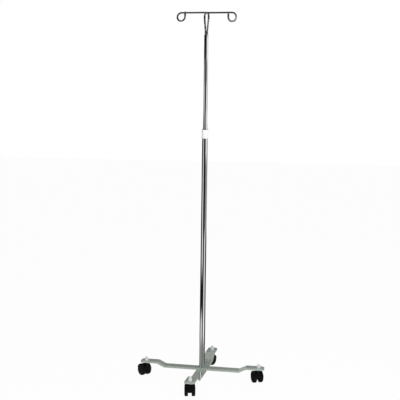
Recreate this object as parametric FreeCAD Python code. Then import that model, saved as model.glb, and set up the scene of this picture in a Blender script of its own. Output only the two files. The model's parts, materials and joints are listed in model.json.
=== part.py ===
import FreeCAD, Part
import math
import os

from FreeCAD import Vector

# A rolling drip stand. Two jogged channel bars cross at the middle and stand on
# four twin-wheel casters. A chromed tube is bolted on the crossing, and a thinner
# mast telescopes out of it through a twist-lock collar and carries two bent hooks.
# Millimetres, +Z up. The origin is on the pole's axis at floor level. The upper
# base bar runs along X, the lower one along Y, and the crossbar of the hooks
# along X. Threads are left plain. A gap or clearance round an axis is radial.

# ------------------------------------------------------------------ base bars
bar_length = 565.8            # tip to tip, both bars
bar_width = 44.45
bar_depth = 8.5               # overall height of the inverted channel
bar_wall = 3.0
bar_corner_radius = 12.0      # the four corners, seen from above
bar_edge_radius = 2.4         # outside bend from the web into the flanges
bar_bend_radius = 9.0         # inside radius of the four bends of the jog
bar_drop = 15.7               # how far the upper bar dips between its ends and middle
bar_ramp_angle = math.radians(26.0)
bar_raised_end = 80.9         # from each tip to the top of its ramp
stem_inset = 24.5             # from each tip to its caster's stem

# -------------------------------------------------------------- pole and mast
# The pair of hook rods fills the mast's bore and the guide bush fills the pole
# round the mast, so each tube takes its diameter from what it holds.
upper_tube_wall = 1.5
upper_tube_length = 1030.0
mast_shown = 409.0            # mast above the collar, as pictured
glide_wall = 1.855            # guide bush round the foot of the mast
glide_length = 40.0
glide_land = 10.0             # full-diameter length at each end of the bush
glide_relief = 0.8            # waist of the bush below its lands
glide_step = 1.0              # length of the slope between land and waist
glide_clearance = 0.06        # guide bush in the pole
mast_clearance = 0.06         # guide bush and collet round the mast
lower_tube_wall = 1.2
lower_tube_length = 1046.0
foot_plug_length = 26.0
end_plug_length = 18.0
end_plug_flange = 2.0
stop_pin_diameter = 4.0
stop_pin_above_glide = 0.5
press_gap = 0.03              # pieces pressed into a bore
edge_rounding = 0.6           # ends of small turned and moulded pieces

# ----------------------------------------------------------- twist-lock collar
collet_spigot = 30.0          # length of collet inside the pole
collet_thread_length = 9.0
collet_thread_step = 0.7      # thread below the pole's outside
collet_thread_gap = 0.2
collet_cone_length = 11.0
collet_cone_step = 0.7        # foot of the cone below the thread
collet_cone_gap = 0.3
collet_tip_wall = 0.8
collet_tip_rounding = 0.5
collet_slots = 6
collet_slot_width = 1.3
collar_wall = 1.95            # outside the skirt's bore
collar_skirt = 13.0           # length of collar that hangs round the pole
collar_skirt_clearance = 0.15
collar_seat_gap = 0.3         # above the pole's mouth and above the thread
collar_head = 5.0             # from the cone's tip to the top of the collar
collar_shoulder = 2.6         # rounding of the top edge
collar_grooves = 18
collar_groove_radius = 1.1
collar_groove_depth = 0.45
collar_groove_margin = 3.2    # plain band below and above the grooves
ring_height = 4.6             # visible height of the chromed ring on the collar
ring_crown = 1.0              # rounding of the ring's outer edge
ring_spigot = 1.4
ring_spigot_step = 1.0        # spigot below the ring's outside
ring_spigot_gap = 0.05
ring_mast_clearance = 0.4

# ---------------------------------------------------------------------- hooks
rod_diameter = 7.94
rod_pair_gap = 0.04           # between the two rods where they touch
rod_bore_gap = 0.065          # round the pair in the mast
rod_in_tube = 60.0
hook_rise = 95.0              # from the mast's mouth to the crossbar's axis
hook_span = 266.0             # outside to outside of the two loops
loop_inside_diameter = 28.5
loop_gap = 5.6                # clear way between a hook's tip and the crossbar
tip_above_bar = 0.5           # top of a hook's tip above the top of the crossbar
fork_width = 19.0             # axis to axis of the uprights under the crossbar
fork_start = 14.0             # above the mast's mouth
fork_end = 66.0
fork_bend_radius = 30.0
crossbar_bend_radius = 12.0
coil_steps = 12

# -------------------------------------------------------------------- casters
wheel_diameter = 50.0
wheel_width = 14.7
wheel_gap = 16.6              # between the two wheels of a caster
caster_trail = 17.5
axle_diameter = 8.0
axle_wheel_clearance = 0.05
axle_housing_clearance = 0.06
axle_end_inset = 3.6          # axle end below the wheel's outer face
tread_thickness = 5.5
tread_shoulder = 5.0          # rounding of the tread's outer edge
tread_inner_edge = 1.2
hub_radius = 8.0
hub_running_gap = 0.3         # hub to housing, along the axle
web_thickness = 3.0
web_inset = 1.0               # web behind the wheel's inner face
rim_thickness = 2.6
rim_inset = 0.4               # rim behind the wheel's outer face
wheel_ribs = 6
rib_width = 1.8
rib_root = 0.5                # how far a rib runs into the hub and the rim
cap_thickness = 1.8
cap_gap = 0.15
cap_edge = 0.7
cap_dish = 0.7                # depth of the hollow in the cap's face
cap_dish_radius = 8.4
cap_dish_slope = 2.0
housing_side_gap = 1.0        # to each wheel's inner face
housing_foot_radius = 12.0    # round the axle, under the wheels' inner faces
housing_flank = math.radians(35.0)
hood_gap = 1.2                # to the treads
hood_thickness = 2.0
hood_edge = 1.6               # rounding of the hood's two rims
hood_inset = 1.5              # wheels stand out this far past the hood
hood_start = math.radians(14.0)
hood_end = math.radians(168.0)
neck_rise = 11.2              # neck above the hood
neck_taper_height = 2.0
neck_taper = 0.8
neck_gap = 1.5                # from the neck to the stem's flange
stem_pin_diameter = 9.0
stem_pin_clearance = 0.05
stem_pin_below_axle = 1.0
stem_pin_end_gap = 0.4
stem_pin_rounding = 1.0
stem_flange_diameter = 18.0
stem_flange_height = 4.2
stem_edge = 0.8

# The heading is the way that the wheels trail from the stem, from +X.
casters = {
    "front": (0.0, -1.0, math.radians(103.8)),
    "right": (1.0, 0.0, math.radians(117.8)),
    "back": (0.0, 1.0, math.radians(238.9)),
    "left": (-1.0, 0.0, math.radians(138.4)),
}

# ------------------------------------------------------------------ fasteners
screw_diameter = 9.5          # caster stems and the centre bolt
screw_clearance = 0.06        # in nuts and in the foot plug
screw_hole_clearance = 0.3    # in the bars and the washers
screw_end_gap = 1.0           # below the roof of a cap nut
nut_across_flats = 14.3
nut_hex_height = 8.0
nut_height = 14.0
nut_roof = 3.0
nut_dome_inset = 0.6          # dome inside the flats
nut_dome_lap = 1.0            # dome below the top of the flats
nut_dome_flat = 1.3           # radius of the flat at the dome's top
nut_chamfer_angle = math.radians(30.0)
washer_diameter = 19.0
washer_thickness = 1.4
bolt_head_height = 6.4
bolt_washer_diameter = 24.0
bolt_washer_thickness = 2.0
bolt_in_plug = 20.0

# -------------------------------------------------------------- derived sizes
X = Vector(1, 0, 0)
Y = Vector(0, 1, 0)
Z = Vector(0, 0, 1)
cut_margin = 1.0              # how far a cutting shape runs past what it cuts

wheel_radius = wheel_diameter / 2
wheel_inner = wheel_gap / 2
wheel_outer = wheel_inner + wheel_width
rim_outer = wheel_radius - tread_thickness
rim_inner = rim_outer - rim_thickness
axle_radius = axle_diameter / 2
hood_inner_radius = wheel_radius + hood_gap
hood_outer_radius = hood_inner_radius + hood_thickness
housing_half_width = wheel_inner - housing_side_gap
neck_top = wheel_radius + hood_outer_radius + neck_rise
stem_pin_radius = stem_pin_diameter / 2
stem_pin_bottom = wheel_radius - stem_pin_below_axle
stem_flange_bottom = neck_top + neck_gap
stem_flange_top = stem_flange_bottom + stem_flange_height

bar_top = stem_flange_top + bar_wall
stem_radius = bar_length / 2 - stem_inset
ramp_top_at = bar_length / 2 - bar_raised_end
lower_bar_drop = bar_drop + bar_depth
pole_foot = bar_top - bar_drop

screw_radius = screw_diameter / 2
screw_bore = screw_radius + screw_clearance
screw_hole = screw_radius + screw_hole_clearance

rod_radius = rod_diameter / 2
rod_offset = rod_radius + rod_pair_gap / 2
upper_tube_bore = rod_offset + rod_radius + rod_bore_gap
upper_tube_radius = upper_tube_bore + upper_tube_wall
glide_bore = upper_tube_radius + mast_clearance
glide_outer = glide_bore + glide_wall
glide_waist = glide_outer - glide_relief
lower_tube_bore = glide_outer + glide_clearance
lower_tube_radius = lower_tube_bore + lower_tube_wall

lower_tube_top = pole_foot + lower_tube_length
thread_top = lower_tube_top + collet_thread_length
cone_top = thread_top + collet_cone_length
collar_bottom = lower_tube_top - collar_skirt
collar_top = cone_top + collar_head
ring_seat = collar_top - ring_spigot
ring_top = collar_top + ring_height
upper_tube_top = ring_top + mast_shown
upper_tube_foot = upper_tube_top - upper_tube_length
crossbar_height = upper_tube_top + hook_rise
loop_radius = loop_inside_diameter / 2 + rod_radius
loop_at = hook_span / 2 - loop_radius - rod_radius

parts = {}


# --------------------------------------------------------------- shape helpers
def bent_edges(corners, closed=False):
    """Lines through the corners, each a (point, bend radius), joined by tangent arcs."""
    count = len(corners)
    starts = []
    ends = []
    arcs = []
    for i, (point, radius) in enumerate(corners):
        if radius <= 0 or (not closed and i in (0, count - 1)):
            starts.append(point)
            ends.append(point)
            arcs.append(None)
            continue
        back = (corners[i - 1][0] - point).normalize()
        ahead = (corners[(i + 1) % count][0] - point).normalize()
        half_angle = back.getAngle(ahead) / 2
        reach = radius / math.tan(half_angle)
        inward = (back + ahead).normalize()
        middle = point + inward * (radius / math.sin(half_angle) - radius)
        starts.append(point + back * reach)
        ends.append(point + ahead * reach)
        arcs.append(Part.Arc(point + back * reach, middle, point + ahead * reach))
    edges = []
    for i in range(count):
        if arcs[i] is not None:
            edges.append(arcs[i].toShape())
        following = (i + 1) % count
        if following == 0 and not closed:
            break
        if ends[i].distanceToPoint(starts[following]) > 1e-6:
            edges.append(Part.LineSegment(ends[i], starts[following]).toShape())
    return edges


def bent_face(corners):
    """A flat face inside a closed outline of corners."""
    return Part.Face(Part.Wire(bent_edges(corners, closed=True)))


def turned(outline, axis=Z, start=0.0, end=2 * math.pi):
    """A solid of revolution from (radius, height along the axis, rounding) points."""
    face = bent_face([(X * radius + axis * along, rounding) for radius, along, rounding in outline])
    face.rotate(Vector(), axis, math.degrees(start))
    return face.revolve(Vector(), axis, math.degrees(end - start))


def tube(inner, outer, bottom, top):
    """A plain tube or ring round Z."""
    return turned([(inner, bottom, 0), (outer, bottom, 0), (outer, top, 0), (inner, top, 0)])


def rod(radius, bottom, top, axis=Z):
    """A plain round bar on an axis through the origin."""
    return Part.makeCylinder(radius, top - bottom, axis * bottom, axis)


def hex_prism(across_flats, bottom, top):
    """A hexagon bar along Z with two flats facing Y."""
    corner = across_flats / math.sqrt(3)
    angles = [i * math.pi / 3 for i in range(6)]
    points = [Vector(corner * math.cos(a), corner * math.sin(a), bottom) for a in angles]
    return bent_face([(point, 0) for point in points]).extrude(Z * (top - bottom))


def repeated(shape, count, axis=Z):
    """Copies of a shape at equal steps round an axis."""
    copies = []
    for i in range(count):
        copy = shape.copy()
        copy.rotate(Vector(), axis, 360.0 * i / count)
        copies.append(copy)
    return copies


def placed(shape, position, heading=0.0):
    """A copy of a shape turned about Z and then moved."""
    copy = shape.copy()
    copy.rotate(Vector(), Z, math.degrees(heading))
    copy.translate(position)
    return copy


# ------------------------------------------------------------------ base bars
def jog_line(depth, drop):
    """Corners of the bar's side line at a depth under its top, from tip to tip."""
    shift = depth * math.tan(bar_ramp_angle / 2)
    high_x = ramp_top_at + shift
    low_x = ramp_top_at - drop / math.tan(bar_ramp_angle) + shift
    high_z = bar_top - depth
    low_z = high_z - drop
    high_bend = bar_bend_radius + bar_depth - depth
    low_bend = bar_bend_radius + depth
    right = [(Vector(low_x, 0, low_z), low_bend),
             (Vector(high_x, 0, high_z), high_bend),
             (Vector(bar_length / 2, 0, high_z), 0)]
    left = [(Vector(-point.x, 0, point.z), bend) for point, bend in reversed(right)]
    return left + right


def plan_line(inset):
    """Corners of the bar's outline seen from above, drawn in by an inset."""
    end = bar_length / 2 - inset
    side = bar_width / 2 - inset
    signs = ((-1, -1), (1, -1), (1, 1), (-1, 1))
    return [(Vector(x * end, y * side, 0), bar_corner_radius - inset) for x, y in signs]


def jogged_slab(upper_depth, lower_depth, drop, inset):
    """A jogged strip between two depths, cut to the outline seen from above."""
    side_view = jog_line(upper_depth, drop) + jog_line(lower_depth, drop)[::-1]
    strip = bent_face(side_view).extrude(Y * bar_width)
    strip.translate(Y * (-bar_width / 2))
    plan = bent_face(plan_line(inset)).extrude(Z * bar_top)
    return strip.common(plan)


def rim_edges(slab, drop):
    """The edges of a slab that lie both on its top and on its upright sides."""
    nearly_zero = 0.01
    top = Part.Wire(bent_edges(jog_line(0, drop))).extrude(Y * bar_width)
    top.translate(Y * (-bar_width / 2))
    sides = Part.Wire(bent_edges(plan_line(0), closed=True)).extrude(Z * bar_top)
    chosen = []
    for edge in slab.Edges:
        first, last = edge.ParameterRange
        points = [edge.valueAt(first + (last - first) * share) for share in (0.2, 0.5, 0.8)]
        if all(surface.distToShape(Part.Vertex(point))[0] < nearly_zero
               for surface in (top, sides) for point in points):
            chosen.append(edge)
    return chosen


def base_bar(drop):
    """An inverted channel along X with jogged arms, rounded corners and three holes."""
    slab = jogged_slab(0, bar_depth, drop, 0)
    slab = slab.makeFillet(bar_edge_radius, rim_edges(slab, drop))
    hollow = jogged_slab(bar_wall, bar_depth + bar_wall, drop, bar_wall)
    bar = slab.cut(hollow)
    for along in (-stem_radius, 0, stem_radius):
        bar = bar.cut(Part.makeCylinder(screw_hole, 2 * bar_top, X * along))
    return bar


parts["base_bar_upper"] = base_bar(bar_drop)
parts["base_bar_lower"] = placed(base_bar(lower_bar_drop), Vector(), math.pi / 2)


# --------------------------------------------------------- nuts and centre bolt
def cap_nut():
    """A domed nut standing on z = 0, with a blind hole."""
    corner_radius = nut_across_flats / math.sqrt(3)
    flat_radius = nut_across_flats / 2
    chamfer = (corner_radius - flat_radius) * math.tan(nut_chamfer_angle)
    envelope = turned([
        (0, 0, 0), (flat_radius, 0, 0), (corner_radius, chamfer, 0),
        (corner_radius, nut_hex_height - chamfer, 0),
        (flat_radius, nut_hex_height, 0), (0, nut_hex_height, 0)])
    body = hex_prism(nut_across_flats, 0, nut_hex_height).common(envelope)
    dome_radius = flat_radius - nut_dome_inset
    dome_foot = nut_hex_height - nut_dome_lap
    dome = turned([
        (0, dome_foot, 0), (dome_radius, dome_foot, 0),
        (dome_radius, nut_height, dome_radius - nut_dome_flat), (0, nut_height, 0)])
    hole = rod(screw_bore, -cut_margin, nut_height - nut_roof)
    return body.fuse(dome).cut(hole)


def washer(diameter, thickness):
    """A flat washer standing on z = 0."""
    return tube(screw_hole, diameter / 2, 0, thickness)


def stem_place(side_x, side_y):
    """The axis of a caster's stem."""
    return Vector(side_x * stem_radius, side_y * stem_radius, 0)


nut_level = bar_top + washer_thickness
stem_washer = washer(washer_diameter, washer_thickness)
stem_nut = cap_nut()
parts["stem_washers"] = Part.makeCompound(
    [placed(stem_washer, stem_place(x, y) + Z * bar_top) for x, y, heading in casters.values()])
parts["stem_nuts"] = Part.makeCompound(
    [placed(stem_nut, stem_place(x, y) + Z * nut_level, heading)
     for x, y, heading in casters.values()])

bolt_seat = pole_foot - bar_depth - bar_wall
head_top = bolt_seat - bolt_washer_thickness
bolt_head = hex_prism(nut_across_flats, head_top - bolt_head_height, head_top)
bolt_shank = rod(screw_radius, head_top, pole_foot + bolt_in_plug)
parts["centre_bolt"] = bolt_head.fuse(bolt_shank)
parts["centre_washer"] = placed(washer(bolt_washer_diameter, bolt_washer_thickness), Z * head_top)

# --------------------------------------------------------------- pole and mast
parts["foot_plug"] = tube(screw_bore, lower_tube_bore - press_gap,
                          pole_foot, pole_foot + foot_plug_length)
parts["lower_tube"] = tube(lower_tube_bore, lower_tube_radius, pole_foot, lower_tube_top)

glide_bottom = upper_tube_foot
glide_top = glide_bottom + glide_length
parts["glide_bush"] = turned([
    (glide_bore, glide_bottom, 0), (glide_outer, glide_bottom, edge_rounding),
    (glide_outer, glide_bottom + glide_land, 0),
    (glide_waist, glide_bottom + glide_land + glide_step, 0),
    (glide_waist, glide_top - glide_land - glide_step, 0),
    (glide_outer, glide_top - glide_land, 0),
    (glide_outer, glide_top, edge_rounding), (glide_bore, glide_top, 0)])

end_plug_radius = upper_tube_bore - press_gap
end_flange_radius = (glide_bore + glide_outer) / 2
end_flange_top = glide_bottom - mast_clearance
parts["mast_end_plug"] = turned([
    (0, glide_bottom - end_plug_flange, 0),
    (end_flange_radius, glide_bottom - end_plug_flange, edge_rounding),
    (end_flange_radius, end_flange_top, 0), (upper_tube_radius, end_flange_top, 0),
    (upper_tube_radius, glide_bottom, 0), (end_plug_radius, glide_bottom, 0),
    (end_plug_radius, glide_bottom + end_plug_length, edge_rounding),
    (0, glide_bottom + end_plug_length, 0)])

stop_pin_radius = stop_pin_diameter / 2
stop_pin_height = glide_top + stop_pin_above_glide + stop_pin_radius
stop_pin = rod(stop_pin_radius, -glide_waist, glide_waist, Y)
pin_hole = rod(stop_pin_radius + press_gap, -glide_waist, glide_waist, Y)
upper_tube = tube(upper_tube_bore, upper_tube_radius, upper_tube_foot, upper_tube_top)
parts["upper_tube"] = upper_tube.cut(placed(pin_hole, Z * stop_pin_height))
parts["stop_pin"] = placed(stop_pin, Z * stop_pin_height)

# ----------------------------------------------------------- twist-lock collar
collet_bore = upper_tube_radius + mast_clearance
spigot_outer = lower_tube_bore - press_gap
thread_radius = lower_tube_radius - collet_thread_step
cone_foot_radius = thread_radius - collet_cone_step
cone_top_radius = collet_bore + collet_tip_wall
collet = turned([
    (collet_bore, lower_tube_top - collet_spigot, 0),
    (spigot_outer, lower_tube_top - collet_spigot, edge_rounding),
    (spigot_outer, lower_tube_top, 0), (thread_radius, lower_tube_top, 0),
    (thread_radius, thread_top, 0), (cone_foot_radius, thread_top, 0),
    (cone_top_radius, cone_top, collet_tip_rounding), (collet_bore, cone_top, 0)])
slot_foot = lower_tube_top + collet_thread_length / 2
slot = Part.makeBox(lower_tube_radius, collet_slot_width, cone_top - slot_foot + cut_margin,
                    Vector(0, -collet_slot_width / 2, slot_foot))
parts["collet"] = collet.cut(repeated(slot, collet_slots))

skirt_bore = lower_tube_radius + collar_skirt_clearance
collar_radius = skirt_bore + collar_wall
thread_bore = thread_radius + collet_thread_gap
cone_foot_bore = cone_foot_radius + collet_cone_gap
cone_top_bore = cone_top_radius + collet_cone_gap
ring_bore = upper_tube_radius + ring_mast_clearance
ring_radius = lower_tube_radius
ring_recess = ring_radius - ring_spigot_step
collar = turned([
    (skirt_bore, collar_bottom, edge_rounding), (collar_radius, collar_bottom, edge_rounding),
    (collar_radius, collar_top, collar_shoulder), (ring_recess, collar_top, 0),
    (ring_recess, ring_seat, 0), (cone_top_bore, ring_seat, 0), (cone_top_bore, cone_top, 0),
    (cone_foot_bore, thread_top + collar_seat_gap, 0),
    (thread_bore, thread_top + collar_seat_gap, 0),
    (thread_bore, lower_tube_top + collar_seat_gap, 0),
    (skirt_bore, lower_tube_top + collar_seat_gap, 0)])
groove_bottom = collar_bottom + collar_groove_margin + collar_groove_radius
groove_top = collar_top - collar_shoulder - collar_groove_margin - collar_groove_radius
groove = rod(collar_groove_radius, groove_bottom, groove_top)
for end in (groove_bottom, groove_top):
    groove = groove.fuse(Part.makeSphere(collar_groove_radius, Z * end))
groove.translate(X * (collar_radius + collar_groove_radius - collar_groove_depth))
parts["lock_collar"] = collar.cut(repeated(groove, collar_grooves))

ring_spigot_radius = ring_recess - ring_spigot_gap
parts["collar_ring"] = turned([
    (ring_bore, ring_seat, 0), (ring_spigot_radius, ring_seat, 0),
    (ring_spigot_radius, collar_top, 0), (ring_radius, collar_top, 0),
    (ring_radius, ring_top, ring_crown), (ring_bore, ring_top, edge_rounding)])


# ----------------------------------------------------------------------- hooks
def hook_rod():
    """One bent rod: up the fork on the right, over to the left, and round its loop.

    The upright and the bar are straight runs joined by arcs. The coil goes down
    the outside and round underneath, and drifts forward by a rod and a gap while
    it turns, so that the straight tip it ends in rises in front of the bar.
    """
    fork_x = fork_width / 2
    bar_start = Vector(-loop_at, -rod_offset, crossbar_height)
    corners = [
        (Vector(rod_offset, 0, upper_tube_top - rod_in_tube), 0),
        (Vector(rod_offset, 0, upper_tube_top + fork_start), fork_bend_radius),
        (Vector(fork_x, -rod_offset, upper_tube_top + fork_end), fork_bend_radius),
        (Vector(fork_x, -rod_offset, crossbar_height), crossbar_bend_radius),
        (bar_start, 0)]
    edges = bent_edges(corners)
    drift = rod_diameter + loop_gap
    full_turn = 2 * math.pi
    coil_turn = full_turn * 3 / 4
    angles = [coil_turn * i / coil_steps for i in range(coil_steps + 1)]
    points = []
    for angle in angles:
        share = angle / coil_turn
        forward = drift * (share - math.sin(full_turn * share) / full_turn)
        points.append(bar_start + Vector(-loop_radius * math.sin(angle), -forward,
                                         loop_radius * (math.cos(angle) - 1)))
    coil = Part.BSplineCurve()
    coil.interpolate(Points=points, Parameters=angles, InitialTangent=X * -loop_radius,
                     FinalTangent=Z * loop_radius, Scale=False)
    tip_end = points[-1] + Z * (loop_radius + tip_above_bar)
    tip = Part.LineSegment(points[-1], tip_end).toShape()
    path = Part.Wire(edges + [coil.toShape(), tip])
    section = Part.Wire(Part.Circle(corners[0][0], Z, rod_radius).toShape())
    solid = path.makePipeShell([section], True, False)
    return solid.fuse(Part.makeSphere(rod_radius, tip_end)).removeSplitter()


parts["hook_rod_left"], parts["hook_rod_right"] = repeated(hook_rod(), 2)

# --------------------------------------------------------------------- casters
# A caster is built with its stem on Z and its wheels trailing along +X. Its axle
# runs along Y, and pieces that turn on the axle are made round Y at the origin.
axle_place = Vector(caster_trail, 0, wheel_radius)


def stem():
    """The threaded stem: pin in the housing, flange under the leg, screw above."""
    flange = stem_flange_diameter / 2
    screw_top = nut_level + nut_height - nut_roof - screw_end_gap
    return turned([
        (0, stem_pin_bottom, 0), (stem_pin_radius, stem_pin_bottom, stem_pin_rounding),
        (stem_pin_radius, stem_flange_bottom, 0), (flange, stem_flange_bottom, stem_edge),
        (flange, stem_flange_top, 0), (screw_radius, stem_flange_top, 0),
        (screw_radius, screw_top, stem_edge), (0, screw_top, 0)])


def on_circle(radius, angle):
    """A point of the circle round the axle, in the plane of the caster."""
    return axle_place + (X * math.cos(angle) + Z * math.sin(angle)) * radius


def housing():
    """The moulding between the wheels, with its hood over the treads and its neck."""
    wide = housing_half_width
    hood_front = on_circle(hood_outer_radius, math.pi)
    hood_back = on_circle(hood_outer_radius, 0)
    foot_front = on_circle(housing_foot_radius, math.pi + housing_flank)
    foot_back = on_circle(housing_foot_radius, -housing_flank)
    outline = Part.Wire([
        Part.Arc(hood_back, on_circle(hood_outer_radius, math.pi / 2), hood_front).toShape(),
        Part.LineSegment(hood_front, foot_front).toShape(),
        Part.Arc(foot_front, on_circle(housing_foot_radius, -math.pi / 2), foot_back).toShape(),
        Part.LineSegment(foot_back, hood_back).toShape()])
    web = Part.Face(outline).extrude(Y * (2 * wide))
    web.translate(Y * -wide)
    half = wheel_outer - hood_inset
    hood = turned([
        (hood_inner_radius, -half, 0), (hood_outer_radius, -half, hood_edge),
        (hood_outer_radius, half, hood_edge), (hood_inner_radius, half, 0)],
        Y, -hood_end, -hood_start)
    neck = turned([
        (0, wheel_radius, 0), (wide, wheel_radius, 0), (wide, neck_top - neck_taper_height, 0),
        (wide - neck_taper, neck_top, 0), (0, neck_top, 0)])
    body = web.fuse(placed(hood, axle_place)).fuse(neck).removeSplitter()
    socket = rod(stem_pin_radius + stem_pin_clearance, stem_pin_bottom - stem_pin_end_gap,
                 neck_top + cut_margin)
    axle_hole = rod(axle_radius + axle_housing_clearance, -wide - cut_margin,
                    wide + cut_margin, Y)
    return body.cut(socket).cut(placed(axle_hole, axle_place))


def tread(side):
    """The soft band of one wheel."""
    inner = side * wheel_inner
    outer = side * wheel_outer
    return turned([
        (rim_outer, inner, 0), (wheel_radius, inner, tread_inner_edge),
        (wheel_radius, outer, tread_shoulder), (rim_outer, outer, 0)], Y)


def wheel(side):
    """The hard centre of one wheel: hub, web, rim and ribs, open to the outside."""
    bore = axle_radius + axle_wheel_clearance
    hub_end = housing_half_width + hub_running_gap
    web_inner = wheel_inner + web_inset
    web_outer = web_inner + web_thickness
    cap_seat = wheel_outer - cap_thickness - cap_gap
    rim_face = wheel_outer - rim_inset
    section = [
        (bore, hub_end), (hub_radius, hub_end), (hub_radius, web_inner), (rim_inner, web_inner),
        (rim_inner, wheel_inner), (rim_outer, wheel_inner), (rim_outer, rim_face),
        (rim_inner, rim_face), (rim_inner, web_outer), (hub_radius, web_outer),
        (hub_radius, cap_seat), (bore, cap_seat)]
    disc = turned([(radius, side * along, 0) for radius, along in section], Y)
    rib_length = rim_inner - hub_radius + 2 * rib_root
    rib = Part.makeBox(rib_length, cap_seat - web_outer, rib_width,
                       Vector(hub_radius - rib_root, min(side * web_outer, side * cap_seat),
                              -rib_width / 2))
    return disc.fuse(repeated(rib, wheel_ribs, Y)).removeSplitter()


def wheel_cap(side):
    """The dished cover that snaps into the wheel's open side."""
    radius = rim_inner - cap_gap
    back = side * (wheel_outer - cap_thickness)
    face = side * wheel_outer
    dish = side * (wheel_outer - cap_dish)
    return turned([
        (0, back, 0), (radius, back, 0), (radius, face, cap_edge),
        (cap_dish_radius + cap_dish_slope, face, cap_edge), (cap_dish_radius, dish, cap_edge),
        (0, dish, 0)], Y)


def axle():
    """The pin through the housing that both wheels turn on."""
    end = wheel_outer - axle_end_inset
    return turned([
        (0, -end, 0), (axle_radius, -end, edge_rounding),
        (axle_radius, end, edge_rounding), (0, end, 0)], Y)


caster_pieces = {
    "caster_stem": stem(),
    "caster_housing": housing(),
    "caster_axle": placed(axle(), axle_place),
}
for side, label in ((1, "a"), (-1, "b")):
    caster_pieces["wheel_tread_" + label] = placed(tread(side), axle_place)
    caster_pieces["wheel_centre_" + label] = placed(wheel(side), axle_place)
    caster_pieces["wheel_cap_" + label] = placed(wheel_cap(side), axle_place)

for corner, (side_x, side_y, heading) in casters.items():
    for piece, shape in caster_pieces.items():
        parts[piece + "_" + corner] = placed(shape, stem_place(side_x, side_y), heading)

# ---------------------------------------------------------------------- output
os.makedirs("parts", exist_ok=True)
for name, shape in parts.items():
    shape.exportStep("parts/" + name + ".step")
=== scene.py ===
import bmesh
import bpy
import json
import math
import numpy as np
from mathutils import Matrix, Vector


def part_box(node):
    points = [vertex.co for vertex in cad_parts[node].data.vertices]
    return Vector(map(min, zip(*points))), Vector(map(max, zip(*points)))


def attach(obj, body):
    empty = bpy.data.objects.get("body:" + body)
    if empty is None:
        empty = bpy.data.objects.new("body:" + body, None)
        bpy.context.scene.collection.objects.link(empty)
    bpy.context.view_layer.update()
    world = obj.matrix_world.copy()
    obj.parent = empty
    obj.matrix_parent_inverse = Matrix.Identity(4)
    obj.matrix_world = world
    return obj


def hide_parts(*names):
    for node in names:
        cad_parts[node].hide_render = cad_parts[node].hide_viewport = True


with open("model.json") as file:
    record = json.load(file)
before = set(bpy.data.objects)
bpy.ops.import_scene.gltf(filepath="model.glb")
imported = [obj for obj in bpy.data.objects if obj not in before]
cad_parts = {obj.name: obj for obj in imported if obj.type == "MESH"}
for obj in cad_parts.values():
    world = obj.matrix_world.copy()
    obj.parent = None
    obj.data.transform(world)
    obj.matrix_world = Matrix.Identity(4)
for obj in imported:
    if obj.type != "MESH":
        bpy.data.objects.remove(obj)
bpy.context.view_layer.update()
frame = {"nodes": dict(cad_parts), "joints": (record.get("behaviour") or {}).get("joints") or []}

# ---------------------------------------------------------------- wheel treads
# Each caster rolls on two wheels, and each wheel has a soft rubber band moulded on
# its hard centre. The band is rounded on the outside and has two fine grooves. Sizes
# are in millimetres, and along the axle they count from the middle of the caster.
mm = 0.001
joints = {joint["name"]: joint for joint in frame["joints"]}
corners_of_base = ("front", "right", "back", "left")
wheel_sides = {"a": 1, "b": -1}
wheel_radius = 25.0
wheel_inner = 8.3
wheel_outer = 23.0
rim_radius = 19.5
tread_seat_edge = 0.3
tread_inner_shoulder = 1.2
tread_outer_shoulder = 5.0
groove_places = (11.6, 14.6)
tread_groove_depth = 0.35
tread_groove_width = 0.7
groove_lip = 0.12
groove_root = 0.08
same_place = 0.002 * mm
crease = math.radians(35)


def rounded(corners, steps=5):
    """The outline through (radius, along, rounding) corners. A corner with a rounding
    becomes points of its tangent arc: centre + rounding * (cos a, sin a), with a running
    from one touching point to the other."""
    points = np.array([corner[:2] for corner in corners], float)
    outline = []
    for i, (_, _, rounding) in enumerate(corners):
        here = points[i]
        if rounding <= 0:
            outline.append(here[None])
            continue
        back = points[i - 1] - here
        ahead = points[(i + 1) % len(points)] - here
        back /= np.linalg.norm(back)
        ahead /= np.linalg.norm(ahead)
        half = math.acos(np.clip(back @ ahead, -1, 1)) / 2
        inward = (back + ahead) / np.linalg.norm(back + ahead)
        centre = here + inward * rounding / math.sin(half)
        first = here + back * rounding / math.tan(half) - centre
        last = here + ahead * rounding / math.tan(half) - centre
        start = math.atan2(first[1], first[0])
        turn = (math.atan2(last[1], last[0]) - start + math.pi) % (2 * math.pi) - math.pi
        angle = start + turn * np.linspace(0, 1, steps + 1)
        outline.append(centre + rounding * np.stack([np.cos(angle), np.sin(angle)], axis=1))
    return np.concatenate(outline)


def surface(name, grid, closed=(True, True)):
    """A mesh over a grid of points in millimetres: face (i, j) joins the points i, i + 1
    one way and j, j + 1 the other way, and the grid wraps round where it is closed."""
    index = np.arange(grid.shape[0] * grid.shape[1]).reshape(grid.shape[:2])
    if closed[0]:
        index = np.vstack([index, index[:1]])
    if closed[1]:
        index = np.hstack([index, index[:, :1]])
    faces = np.stack([index[:-1, :-1], index[1:, :-1], index[1:, 1:], index[:-1, 1:]], axis=-1)
    mesh = bpy.data.meshes.new(name)
    mesh.from_pydata((grid.reshape(-1, 3) * mm).tolist(), [], faces.reshape(-1, 4).tolist())
    shell = bmesh.new()
    shell.from_mesh(mesh)
    bmesh.ops.remove_doubles(shell, verts=shell.verts, dist=same_place)
    bmesh.ops.recalc_face_normals(shell, faces=shell.faces)
    shell.to_mesh(mesh)
    shell.free()
    mesh.shade_smooth()
    mesh.set_sharp_from_angle(angle=crease)
    piece = bpy.data.objects.new(name, mesh)
    bpy.context.scene.collection.objects.link(piece)
    straight = piece.modifiers.new("straight_walls", "WEIGHTED_NORMAL")
    straight.keep_sharp = True
    return piece


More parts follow.
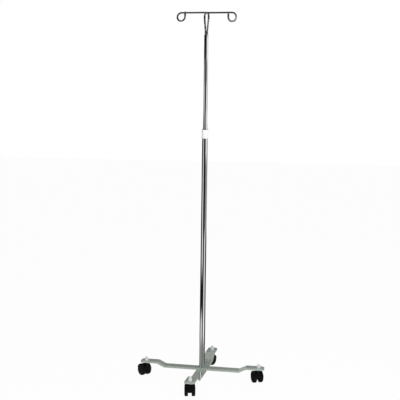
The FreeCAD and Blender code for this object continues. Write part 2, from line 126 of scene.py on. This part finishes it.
def turned(name, outline, centre=(0, 0, 0), axis=(0, 0, 1), count=96, closed=True):
    """A turned surface: the point at angle a is centre + along * axis + radius *
    (cos a * u + sin a * v), where u and v are square to the axis."""
    axis = np.array(axis, float)
    side = np.cross(axis, (0, 1, 0) if abs(axis[2]) > 0.5 else (0, 0, 1))
    side /= np.linalg.norm(side)
    other = np.cross(axis, side)
    angle = np.linspace(0, 2 * math.pi, count, endpoint=False)[None, :, None]
    radius = outline[:, 0][:, None, None]
    along = outline[:, 1][:, None, None]
    grid = np.array(centre) + along * axis + radius * (np.cos(angle) * side + np.sin(angle) * other)
    return surface(name, grid, (closed, True))


def new_finish(name, sockets):
    """A material whose Principled shader holds the given constants."""
    made = bpy.data.materials.new(name)
    made.use_nodes = True
    shader = made.node_tree.nodes["Principled BSDF"]
    for socket, value in sockets.items():
        shader.inputs[socket].default_value = value
    return made


def noise(made, scale, detail=3.0, stretch=(1.0, 1.0, 1.0)):
    """Cloudy noise over the object's own metres, drawn out where stretch is small."""
    nodes = made.node_tree.nodes
    links = made.node_tree.links
    place = nodes.new("ShaderNodeTexCoord")
    fit = nodes.new("ShaderNodeMapping")
    fit.inputs["Scale"].default_value = stretch
    cloud = nodes.new("ShaderNodeTexNoise")
    cloud.inputs["Scale"].default_value = scale
    cloud.inputs["Detail"].default_value = detail
    links.new(place.outputs["Object"], fit.inputs["Vector"])
    links.new(fit.outputs["Vector"], cloud.inputs["Vector"])
    return cloud.outputs["Fac"]


def drive(made, source, socket, low, high, start=0.3, end=0.7):
    """Runs a shader socket from low to high, a number or a colour, as the source goes
    from start to end."""
    nodes = made.node_tree.nodes
    shader = nodes["Principled BSDF"]
    if isinstance(low, tuple):
        ramp = nodes.new("ShaderNodeValToRGB")
        ramp.color_ramp.elements[0].position = start
        ramp.color_ramp.elements[0].color = (*low, 1)
        ramp.color_ramp.elements[1].position = end
        ramp.color_ramp.elements[1].color = (*high, 1)
        made.node_tree.links.new(source, ramp.inputs["Fac"])
        result = ramp.outputs["Color"]
    else:
        spread = nodes.new("ShaderNodeMapRange")
        spread.inputs["From Min"].default_value = start
        spread.inputs["From Max"].default_value = end
        spread.inputs["To Min"].default_value = low
        spread.inputs["To Max"].default_value = high
        made.node_tree.links.new(source, spread.inputs["Value"])
        result = spread.outputs["Result"]
    made.node_tree.links.new(result, shader.inputs[socket])


def emboss(made, source, depth, strength=1.0):
    """Raises and sinks the surface with the source, by a depth in millimetres."""
    relief = made.node_tree.nodes.new("ShaderNodeBump")
    relief.inputs["Distance"].default_value = depth * mm
    relief.inputs["Strength"].default_value = strength
    made.node_tree.links.new(source, relief.inputs["Height"])
    made.node_tree.links.new(relief.outputs["Normal"],
                             made.node_tree.nodes["Principled BSDF"].inputs["Normal"])


def finish_piece(piece, material, body, slot, *nodes):
    """Gives a new piece its material and its body, and hides the CAD nodes it replaces. The slot is
    not used.
    """
    piece.data.materials.append(material)
    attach(piece, body)
    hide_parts(*nodes)


tread_rubber = new_finish("tread_rubber", {"Specular IOR Level": 0.2})
dust = noise(tread_rubber, scale=160, detail=4)
drive(tread_rubber, dust, "Base Color", (0.005, 0.005, 0.0055), (0.011, 0.011, 0.0105))
drive(tread_rubber, dust, "Roughness", 0.48, 0.68)
emboss(tread_rubber, noise(tread_rubber, scale=2200), depth=0.03)

tread_corners = [(rim_radius, wheel_inner, tread_seat_edge),
                 (wheel_radius, wheel_inner, tread_inner_shoulder)]
for place in groove_places:
    tread_corners += [
        (wheel_radius, place - tread_groove_width / 2, groove_lip),
        (wheel_radius - tread_groove_depth, place - tread_groove_width / 4, groove_root),
        (wheel_radius - tread_groove_depth, place + tread_groove_width / 4, groove_root),
        (wheel_radius, place + tread_groove_width / 2, groove_lip)]
tread_corners += [(wheel_radius, wheel_outer, tread_outer_shoulder),
                  (rim_radius, wheel_outer, tread_seat_edge)]
tread_outline = rounded(tread_corners)

for corner in corners_of_base:
    for label, side in wheel_sides.items():
        roll = joints[f"roll_{label}_{corner}"]
        outward = side * np.array(roll["axis"])
        tread = turned(f"tread_{label}_{corner}", tread_outline,
                       np.array(roll["pos_m"]) / mm, outward)
        finish_piece(tread, tread_rubber, f"wheel_{label}_{corner}", "tread_rubber",
                     f"wheel_tread_{label}_{corner}")

# ------------------------------------------- wheel centres, caps and housings
# The wheels' centres, their snap-in caps and the hooded housings are moulded in
# black nylon with a fine spark grain. A cap has a stepped land, a shallow dish and
# a small boss over the end of the axle.
cap_radius = 16.75
cap_back = 21.2
cap_step_radius = 14.6
cap_step = 0.35
cap_dish_radius = 9.4
cap_dish = 0.7
cap_boss_radius = 3.4
cap_boss = 0.45
cap_fine_edge = 0.15
cap_soft_edge = 0.3
cap_rim_edge = 0.4
cap_dish_edge = 0.5
cap_land = wheel_outer - cap_step
dish_floor = wheel_outer - cap_dish
boss_top = dish_floor + cap_boss

black_nylon = new_finish("black_nylon", {"Base Color": (0.004, 0.004, 0.0045, 1),
                                         "Specular IOR Level": 0.2})
drive(black_nylon, noise(black_nylon, scale=90, detail=4), "Roughness", 0.30, 0.46)
emboss(black_nylon, noise(black_nylon, scale=2600, detail=2), depth=0.035)

cap_outline = rounded([
    (0, cap_back, 0), (cap_radius, cap_back, cap_fine_edge),
    (cap_radius, cap_land, cap_rim_edge), (cap_step_radius + cap_step, cap_land, cap_fine_edge),
    (cap_step_radius, wheel_outer, cap_soft_edge),
    (cap_dish_radius + cap_dish, wheel_outer, cap_dish_edge),
    (cap_dish_radius, dish_floor, cap_dish_edge),
    (cap_boss_radius, dish_floor, cap_soft_edge),
    (cap_boss_radius, boss_top, cap_soft_edge), (0, boss_top, 0)])

for corner in corners_of_base:
    for label, side in wheel_sides.items():
        roll = joints[f"roll_{label}_{corner}"]
        cap = turned(f"cap_{label}_{corner}", cap_outline, np.array(roll["pos_m"]) / mm,
                     side * np.array(roll["axis"]), closed=False)
        finish_piece(cap, black_nylon, f"wheel_{label}_{corner}", "black_nylon",
                     f"wheel_cap_{label}_{corner}")


def carry(node, material):
    """Shows a CAD node as it is, with a better material."""
    place = frame["nodes"][node].material_slots[0]
    place.link = "OBJECT"
    place.material = material


for corner in corners_of_base:
    carry(f"caster_housing_{corner}", black_nylon)
    for label in wheel_sides:
        carry(f"wheel_centre_{label}_{corner}", black_nylon)

# ------------------------------------------------------------------- base bars
# Two pressed steel channels, bent up at both ends and crossed at the middle. They are
# sprayed a silvery grey with a breath of green in it and baked under a clear coat,
# glossy enough to mirror the foot of the pole.
leg_paint = new_finish("leg_paint", {"Metallic": 0.15, "Coat Weight": 0.9,
                                     "Coat Roughness": 0.03})
drive(leg_paint, noise(leg_paint, scale=9), "Base Color",
      (0.415, 0.475, 0.413), (0.460, 0.515, 0.455))
drive(leg_paint, noise(leg_paint, scale=5200, detail=1), "Roughness", 0.24, 0.36)
emboss(leg_paint, noise(leg_paint, scale=150, detail=2), depth=0.02, strength=0.35)
carry("base_bar_upper", leg_paint)
carry("base_bar_lower", leg_paint)

# ------------------------------------------- stems, washers, nuts, centre bolt
# Each caster's stem passes through the end of its leg and is held by a washer and a
# domed nut, and the pole by one bolt from below. All are steel with bright zinc.
bright_zinc = new_finish("bright_zinc", {"Metallic": 0.25})
drive(bright_zinc, noise(bright_zinc, scale=420, detail=4), "Base Color",
      (0.86, 0.87, 0.88), (0.94, 0.95, 0.96))
drive(bright_zinc, noise(bright_zinc, scale=700), "Roughness", 0.16, 0.30)
emboss(bright_zinc, noise(bright_zinc, scale=1500, detail=2), depth=0.01)
for node in ("stem_washers", "stem_nuts", "centre_bolt", "centre_washer"):
    carry(node, bright_zinc)
for corner in corners_of_base:
    carry(f"caster_stem_{corner}", bright_zinc)

# --------------------------------------------- pieces inside pole, mast, wheels
# The foot plug, the stop pin and the axles are plain turned steel. The collet, the
# guide bush and the mast's end plug are moulded or turned in natural nylon.
turned_steel = new_finish("turned_steel", {"Metallic": 1.0})
lathe_marks = noise(turned_steel, scale=60, detail=2, stretch=(1, 1, 60))
drive(turned_steel, lathe_marks, "Base Color", (0.36, 0.36, 0.37), (0.52, 0.52, 0.53))
drive(turned_steel, noise(turned_steel, scale=300), "Roughness", 0.28, 0.42)
carry("foot_plug", turned_steel)
carry("stop_pin", turned_steel)
for corner in corners_of_base:
    carry(f"caster_axle_{corner}", turned_steel)

natural_nylon = new_finish("natural_nylon", {"Subsurface Weight": 0.15,
                                             "Subsurface Radius": (0.002, 0.0015, 0.001)})
drive(natural_nylon, noise(natural_nylon, scale=120), "Base Color",
      (0.70, 0.67, 0.57), (0.76, 0.73, 0.64))
drive(natural_nylon, noise(natural_nylon, scale=500, detail=2), "Roughness", 0.42, 0.55)
for node in ("collet", "glide_bush", "mast_end_plug"):
    carry(node, natural_nylon)

# --------------------------------------------------------------- pole and mast
# Two drawn steel tubes, polished lengthwise and chromed. The pole stands on the
# crossing of the bars, and the mast slides in it. Their rims are eased by hand.
pole_radius = 12.7
pole_wall = 1.2
mast_radius = 9.525
mast_wall = 1.5
rim_easing = 0.35

chrome = new_finish("chrome", {"Metallic": 1.0})
drive(chrome, noise(chrome, scale=35, detail=4), "Base Color",
      (0.80, 0.81, 0.82), (0.86, 0.87, 0.88))
drive(chrome, noise(chrome, scale=55, detail=5), "Roughness", 0.035, 0.09)
polish_lines = noise(chrome, scale=900, detail=2, stretch=(1, 1, 0.01))
emboss(chrome, polish_lines, depth=0.002, strength=0.25)


def chromed_tube(name, node, body, radius, wall):
    """A tube from the foot to the mouth of its CAD node, with eased rims."""
    low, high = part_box(node)
    bottom = low[2] / mm
    top = high[2] / mm
    outline = rounded([
        (radius - wall, bottom, rim_easing), (radius, bottom, rim_easing),
        (radius, top, rim_easing), (radius - wall, top, rim_easing)])
    piece = turned(name, outline, count=160)
    finish_piece(piece, chrome, body, "chrome", node)


chromed_tube("pole_tube", "lower_tube", "base", pole_radius, pole_wall)
chromed_tube("mast_tube", "upper_tube", "mast", mast_radius, mast_wall)

# ------------------------------------------------------- twist-lock collar, ring
# A white moulded sleeve screws down over the collet and clamps the mast. Finger
# grooves run along it between two plain bands, and a chromed ring is let into its top.
collar_radius = 14.8
collar_skirt_bore = 12.85
collar_thread_bore = 12.2
collar_cone_bore = 11.6
collar_neck_bore = 10.685
ring_recess = 11.7
ring_recess_edge = 0.15
collar_shoulder = 2.6
collar_edge = 0.6
skirt_height = 13.3
thread_height = 22.3
cone_height = 33.0
ring_seat_height = 36.6
grooves = 18
groove_radius = 1.1
groove_depth = 0.45
groove_margin = 3.2
samples_per_groove = 24
band_rows = 56
ring_bore = 9.925
ring_spigot_radius = 11.65
ring_seat_edge = 0.2
ring_outer_edge = 1.0
ring_inner_edge = 0.6

collar_low, collar_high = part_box("lock_collar")
collar_bottom = collar_low[2] / mm
collar_top = collar_high[2] / mm
skirt_top = collar_bottom + skirt_height
thread_top = collar_bottom + thread_height
ring_seat = collar_bottom + ring_seat_height
shoulder_foot = collar_top - collar_shoulder
profile = rounded([
    (collar_radius, collar_bottom, collar_edge), (collar_radius, collar_top, collar_shoulder),
    (ring_recess, collar_top, ring_recess_edge), (ring_recess, ring_seat, 0),
    (collar_neck_bore, ring_seat, 0), (collar_neck_bore, collar_bottom + cone_height, 0),
    (collar_cone_bore, thread_top, 0), (collar_thread_bore, thread_top, 0),
    (collar_thread_bore, skirt_top, 0), (collar_skirt_bore, skirt_top, 0),
    (collar_skirt_bore, collar_bottom, collar_edge)], steps=10)
on_side = np.isclose(profile[:, 0], collar_radius)
side_levels = np.linspace(profile[on_side, 1].min(), profile[on_side, 1].max(), band_rows)
before = profile[:np.flatnonzero(on_side)[0]]
after = profile[np.flatnonzero(on_side)[-1] + 1:]
band = np.stack([np.full(band_rows, collar_radius), side_levels], axis=1)
profile = np.concatenate([before, band, after])

# A groove is the hollow that a ball-ended rod leaves: its depth at an arc length s from
# its middle and a height h past its straight part is
# sqrt(radius^2 - s^2 - h^2) - (radius - depth), and never less than nothing.
columns = grooves * samples_per_groove
angle = np.linspace(0, 2 * math.pi, columns, endpoint=False)
pitch = 2 * math.pi / grooves
arc = ((angle + pitch / 2) % pitch - pitch / 2) * collar_radius
groove_foot = collar_bottom + groove_margin + groove_radius
groove_head = shoulder_foot - groove_margin - groove_radius
past = np.maximum(0, np.maximum(groove_foot - profile[:, 1], profile[:, 1] - groove_head))
remaining = np.maximum(0, groove_radius ** 2 - arc[None, :] ** 2 - past[:, None] ** 2)
hollow = np.maximum(0, np.sqrt(remaining) - (groove_radius - groove_depth))
outside = np.isclose(profile[:, 0], collar_radius)[:, None]
radius = profile[:, 0][:, None] - np.where(outside, hollow, 0)
collar_grid = np.stack([radius * np.cos(angle), radius * np.sin(angle),
                        np.broadcast_to(profile[:, 1][:, None], radius.shape)], axis=-1)
collar = surface("twist_collar", collar_grid)

white_plastic = new_finish("white_plastic", {"Coat Weight": 0.25, "Coat Roughness": 0.2,
                                             "Subsurface Weight": 0.08,
                                             "Subsurface Radius": (0.002, 0.002, 0.0018)})
drive(white_plastic, noise(white_plastic, scale=60, detail=4), "Base Color",
      (0.86, 0.87, 0.86), (0.92, 0.93, 0.92))
drive(white_plastic, noise(white_plastic, scale=260), "Roughness", 0.26, 0.38)
emboss(white_plastic, noise(white_plastic, scale=1800, detail=2), depth=0.01)
finish_piece(collar, white_plastic, "lock_collar", "white_plastic", "lock_collar")

ring_low, ring_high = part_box("collar_ring")
ring_bottom = ring_low[2] / mm
ring_top = ring_high[2] / mm
ring = turned("chromed_ring", rounded([
    (ring_bore, ring_bottom, 0), (ring_spigot_radius, ring_bottom, 0),
    (ring_spigot_radius, collar_top, 0), (pole_radius, collar_top, ring_seat_edge),
    (pole_radius, ring_top, ring_outer_edge), (ring_bore, ring_top, ring_inner_edge)],
    steps=8), count=144)
finish_piece(ring, chrome, "collar_ring", "chrome", "collar_ring")

# ----------------------------------------------------------------------- hooks
# Two pieces of chromed 8 mm rod, bent alike and set half a turn apart in the mast. Each
# runs up the fork, over as the crossbar, down round its loop, and up to a rounded tip.
rod_radius = 3.97
rod_offset = 3.99
rod_in_tube = 60.0
fork_start = 14.0
fork_end = 66.0
fork_half_width = 9.5
fork_bend = 30.0
crossbar_rise = 95.0
crossbar_bend = 12.0
loop_radius = 18.22
loop_at = 110.81
coil_drift = 13.54
coil_turn = 1.5 * math.pi
coil_points = 200
tip_above_bar = 0.5
tip_points = 14
ball_points = 9
fewest_arc_points = 12
mast_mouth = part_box("upper_tube")[1][2] / mm
crossbar_height = mast_mouth + crossbar_rise


def bent_line(corners, spacing=1.5):
    """Points along straight runs joined by tangent arcs, from (point, bend radius) corners.
    An arc's point is centre + first * cos a + square * sin a, where first points at the
    arc's start and square lies at right angles to it in the plane of the bend."""
    points = [np.array(point, float) for point, _ in corners]
    line = []
    cursor = points[0]
    for i in range(1, len(points)):
        radius = corners[i][1]
        along = points[i] - points[i - 1]
        along /= np.linalg.norm(along)
        if radius > 0:
            ahead = points[i + 1] - points[i]
            ahead /= np.linalg.norm(ahead)
            turn = math.acos(np.clip(along @ ahead, -1, 1))
            stop = points[i] - along * radius * math.tan(turn / 2)
        else:
            stop = points[i]
        length = np.linalg.norm(stop - cursor)
        steps = max(2, int(length / spacing))
        line.append(cursor + np.linspace(0, 1, steps, endpoint=False)[:, None] * (stop - cursor))
        if radius > 0:
            inward = ahead - along * (ahead @ along)
            inward /= np.linalg.norm(inward)
            centre = stop + inward * radius
            arc_points = max(fewest_arc_points, int(2 * turn * radius / spacing))
            sweep = np.linspace(0, turn, arc_points, endpoint=False)[:, None]
            line.append(centre - inward * radius * np.cos(sweep) + along * radius * np.sin(sweep))
            stop = points[i] + ahead * radius * math.tan(turn / 2)
        cursor = stop
    return np.concatenate(line + [cursor[None]])


def rod_along(name, line, radius, count=64):
    """A round rod on a line of points p with unit tangents t: the surface point at angle
    a is p + r * (cos a * n + sin a * (t x n)), where n is Y made square to t. The foot
    is flat, and the tip is a half ball: p + t * R * sin b, with r = R * cos b."""
    tangent = np.gradient(line, axis=0)
    tangent /= np.linalg.norm(tangent, axis=1)[:, None]
    bend = np.linspace(0, math.pi / 2, ball_points)[1:]
    ball_line = line[-1] + np.sin(bend)[:, None] * radius * tangent[-1]
    path = np.concatenate([line[:1], line, ball_line])
    ways = np.concatenate([tangent[:1], tangent, np.repeat(tangent[-1:], len(bend), axis=0)])
    radii = np.concatenate([[0.0], np.full(len(line), radius), radius * np.cos(bend)])
    normal = np.array([0.0, 1.0, 0.0]) - ways * ways[:, 1:2]
    normal /= np.linalg.norm(normal, axis=1)[:, None]
    other = np.cross(ways, normal)
    angle = np.linspace(0, 2 * math.pi, count, endpoint=False)[None, :, None]
    round_way = np.cos(angle) * normal[:, None] + np.sin(angle) * other[:, None]
    return surface(name, path[:, None] + radii[:, None, None] * round_way, (False, True))


stem_line = bent_line([
    ((rod_offset, 0, mast_mouth - rod_in_tube), 0),
    ((rod_offset, 0, mast_mouth + fork_start), fork_bend),
    ((fork_half_width, -rod_offset, mast_mouth + fork_end), fork_bend),
    ((fork_half_width, -rod_offset, crossbar_height), crossbar_bend),
    ((-loop_at, -rod_offset, crossbar_height), 0)])
turning = np.linspace(0, coil_turn, coil_points)[1:]
share = turning / coil_turn
drift = coil_drift * (share - np.sin(2 * math.pi * share) / (2 * math.pi))
coil_line = np.stack([-loop_at - loop_radius * np.sin(turning), -rod_offset - drift,
                      crossbar_height + loop_radius * (np.cos(turning) - 1)], axis=1)
climb = np.linspace(0, loop_radius + tip_above_bar, tip_points)[1:]
tip_line = coil_line[-1] + np.array([0, 0, 1]) * climb[:, None]
left_line = np.concatenate([stem_line, coil_line, tip_line])
half_turn = np.array([-1.0, -1.0, 1.0])
for name, line in (("left", left_line), ("right", left_line * half_turn)):
    finish_piece(rod_along(f"hook_{name}", line, rod_radius), chrome, "mast", "chrome",
                 f"hook_rod_{name}")

# ------------------------------------------------------------- floor and studio
# A plain white floor under a white sky, and one large soft area light. Around them a
# round room glows in rings and lights nothing; only polished metal and clear coat see it,
# and the dark and grey stripes it gives the chrome are painted reflections.
floor_reach = 20.0
floor_whiteness = 0.95
floor_glow_share = 0.96
sky_light = 0.50
key_width = 1.8
key_length = 2.4
key_power = 65
key_distance = 3.0
key_height = 1.8
key_tilt = math.radians(70)
key_aside = math.radians(20)

floor_mesh = bpy.data.meshes.new("floor")
floor_mesh.from_pydata([(-floor_reach, -floor_reach, 0), (floor_reach, -floor_reach, 0),
                        (floor_reach, floor_reach, 0), (-floor_reach, floor_reach, 0)],
                       [], [(0, 1, 2, 3)])
floor = bpy.data.objects.new("floor", floor_mesh)
bpy.context.scene.collection.objects.link(floor)

floor_white = bpy.data.materials.new("floor_white")
floor_white.use_nodes = True
floor_nodes = floor_white.node_tree.nodes
floor_links = floor_white.node_tree.links
floor_nodes.clear()
floor_out = floor_nodes.new("ShaderNodeOutputMaterial")
floor_seen = floor_nodes.new("ShaderNodeLightPath")
floor_matt = floor_nodes.new("ShaderNodeBsdfDiffuse")
floor_matt.inputs["Color"].default_value = (floor_whiteness, floor_whiteness, floor_whiteness, 1)
floor_glow = floor_nodes.new("ShaderNodeEmission")
floor_glow.inputs["Strength"].default_value = 1.0
floor_mix = floor_nodes.new("ShaderNodeMixShader")
floor_share = floor_nodes.new("ShaderNodeMath")
floor_share.operation = "MULTIPLY"
floor_share.inputs[1].default_value = floor_glow_share
floor_either = floor_nodes.new("ShaderNodeMath")
floor_either.operation = "MAXIMUM"
floor_links.new(floor_seen.outputs["Is Camera Ray"], floor_either.inputs[0])
floor_links.new(floor_seen.outputs["Is Glossy Ray"], floor_either.inputs[1])
floor_links.new(floor_either.outputs[0], floor_share.inputs[0])
floor_links.new(floor_share.outputs[0], floor_mix.inputs["Fac"])
floor_links.new(floor_matt.outputs["BSDF"], floor_mix.inputs[1])
floor_links.new(floor_glow.outputs["Emission"], floor_mix.inputs[2])
floor_links.new(floor_mix.outputs["Shader"], floor_out.inputs["Surface"])
floor_mesh.materials.append(floor_white)

sky = bpy.data.worlds.new("sky")
sky.use_nodes = True
bpy.context.scene.world = sky
sky_nodes = sky.node_tree.nodes
sky_links = sky.node_tree.links
sky_glow = sky_nodes["Background"]
sky_glow.inputs["Color"].default_value = (1, 1, 1, 1)
sky_seen = sky_nodes.new("ShaderNodeLightPath")
sky_either = sky_nodes.new("ShaderNodeMath")
sky_either.operation = "MAXIMUM"
sky_third = sky_nodes.new("ShaderNodeMath")
sky_third.operation = "MAXIMUM"
sky_level = sky_nodes.new("ShaderNodeMapRange")
sky_level.inputs["To Min"].default_value = sky_light
sky_level.inputs["To Max"].default_value = 1.0
sky_links.new(sky_seen.outputs["Is Camera Ray"], sky_either.inputs[0])
sky_links.new(sky_seen.outputs["Is Glossy Ray"], sky_either.inputs[1])
sky_links.new(sky_either.outputs[0], sky_third.inputs[0])
sky_links.new(sky_seen.outputs["Is Transmission Ray"], sky_third.inputs[1])
sky_links.new(sky_third.outputs[0], sky_level.inputs["Value"])
sky_links.new(sky_level.outputs["Result"], sky_glow.inputs["Strength"])

camera_azimuth = math.radians(10.939)
camera_distance = 3.7672
camera_height = 1.1730
camera_yaw = math.radians(0.281)
camera_pitch = math.radians(-5.398)
camera_roll = math.radians(0.760)
focal_share = 850.67 / 400.0     # focal length over the picture's width

# The room that the chrome and the leg coat mirror is a drum about the pole. It glows and
# lights nothing, and only glossy rays see it, so its levels are painted reflections. Each
# ring lies between two marks of a line that runs out along the floor, up the wall and in
# under the roof. It is one level from each angle to the next, counted up to the right from
# the camera's side, and fades into the rings beside it. Behind the object the rings below
# the dark one are paler, so that the chrome isn't black from there, and each level blends
# into the next over a few columns.
room_reach = 10.0
room_rise = 8.0
room_lift = 0.002
room_columns = 360
blend = 7
behind = 158
black = 0.01
shade = 0.06
dusk = 0.15
grey = 0.28
pale = 0.50
light = 0.62
bright = 0.78
white = 1.0
# The brightest level, nine times white, marks a strip in the high ring: a painted highlight that
# the hooks mirror as glints.
painted_glint = 9.0
rings = {
    "foot": (0.05, 0.55, ((-180, grey), (-18, dusk), (22, grey), (75, shade))),
    "near": (0.80, 1.12, ((-180, black), (-84, bright), (-24, black), (20, white), (72, black))),
    "shadow": (1.50, 2.30, ((-180, black), (20, bright), (70, shade))),
    "far": (3.20, 4.60, ((-180, black), (-70, bright), (-27, black), (26, bright), (72, black))),
    "skirting": (5.40, 10.45,
                 ((-180, black), (-72, bright), (-38, black), (38, grey), (110, pale))),
    "wall": (10.65, 11.08, ((-180, black), (-70, light), (-40, black), (30, bright), (110, grey))),
    "horizon": (11.15, 11.23,
                ((-180, dusk), (-110, grey), (-20, dusk), (18, light), (40, bright))),
    "upper": (11.31, 11.72, ((-180, grey), (-110, pale), (-36, black), (30, bright), (110, pale))),
    "notch": (11.80, 12.06, ((-180, grey), (-34, black), (38, pale), (80, bright))),
    "top": (12.18, 12.50, ((-180, black), (18, pale), (40, white), (110, bright))),
    "dark": (12.58, 13.03, ((-180, black),)),
    "high": (13.07, 13.18, ((-180, shade), (-65, painted_glint), (-50, black), (20, grey))),
    "roof": (13.22, 27.90, ((-180, shade), (-60, black), (20, shade))),
}
starts = np.array([start for start, _, _ in rings.values()])
marks = np.unique([mark for start, end, _ in rings.values() for mark in (start, end)]
                  + [room_reach, room_reach + room_rise])
angles = np.linspace(-180, 180, room_columns, endpoint=False)
ring_levels = []
for _, _, arcs in rings.values():
    arc_starts = [start for start, _ in arcs]
    arc_levels = np.array([level for _, level in arcs])
    ring_levels.append(arc_levels[np.searchsorted(arc_starts, angles, "right") - 1])
ring_levels = np.array(ring_levels)
ring_levels[:list(rings).index("dark"), np.abs(angles) > behind] = pale
room_levels = ring_levels[np.searchsorted(starts, marks, "right") - 1]
room_levels = np.mean([np.roll(room_levels, step, axis=1)
                       for step in range(-blend, blend + 1)], axis=0)
reach = np.minimum(marks, room_reach) - np.maximum(marks - room_reach - room_rise, 0)
rise = np.clip(marks - room_reach, 0, room_rise) + room_lift
turn = np.radians(angles) + camera_azimuth - math.pi / 2
room_grid = np.stack([reach[:, None] * np.cos(turn), reach[:, None] * np.sin(turn),
                      rise[:, None] + 0 * turn], axis=-1) / mm
room = surface("mirror_room", room_grid, (False, True))
room.data.attributes.new("level", "FLOAT", "POINT").data.foreach_set("value", room_levels.ravel())
# The room's surface is black and glows at its level, so it shows only as painted reflections.
reflection_glow = new_finish("reflection_glow", {"Base Color": (0, 0, 0, 1), "Specular IOR Level": 0.0,
                                       "Emission Color": (1, 1, 1.01, 1)})
room_nodes = reflection_glow.node_tree.nodes
room_light = room_nodes.new("ShaderNodeAttribute")
room_light.attribute_name = "level"
room_glow = room_nodes["Principled BSDF"].inputs["Emission Strength"]
reflection_glow.node_tree.links.new(room_light.outputs["Fac"], room_glow)
room.data.materials.append(reflection_glow)
room.visible_camera = False
room.visible_diffuse = False
room.visible_shadow = False
room.visible_transmission = False

key = bpy.data.lights.new("soft_lamp", "AREA")
key.shape = "RECTANGLE"
key.size = key_width
key.size_y = key_length
key.energy = key_power
key_lamp = bpy.data.objects.new("soft_lamp", key)
key_lamp.visible_glossy = False
bpy.context.scene.collection.objects.link(key_lamp)
key_turn = camera_azimuth - math.pi / 2 + key_aside
key_lamp.location = (key_distance * math.cos(key_turn), key_distance * math.sin(key_turn),
                     key_height)
key_lamp.rotation_euler = (key_tilt, 0, key_turn + math.pi / 2)

# The camera's three axes: the right one turned by the roll, the upper one, and the one
# that points back from the picture.
eye = np.array([camera_distance * math.sin(camera_azimuth),
                -camera_distance * math.cos(camera_azimuth), camera_height])
heading = camera_azimuth + camera_yaw
forward = np.array([-math.sin(heading) * math.cos(camera_pitch),
                    math.cos(heading) * math.cos(camera_pitch), math.sin(camera_pitch)])
level_right = np.array([math.cos(heading), math.sin(heading), 0])
level_up = np.cross(level_right, forward)
right = math.cos(camera_roll) * level_right + math.sin(camera_roll) * level_up
upward = math.cos(camera_roll) * level_up - math.sin(camera_roll) * level_right
view = np.eye(4)
view[:3, 0] = right
view[:3, 1] = upward
view[:3, 2] = -forward
view[:3, 3] = eye
camera_data = bpy.data.cameras.new("camera")
camera_data.sensor_fit = "HORIZONTAL"
camera_data.lens = camera_data.sensor_width * focal_share
camera = bpy.data.objects.new("camera", camera_data)
camera.matrix_world = view.T.tolist()
bpy.context.scene.collection.objects.link(camera)
bpy.context.scene.camera = camera
bpy.context.scene.view_settings.view_transform = "Standard"
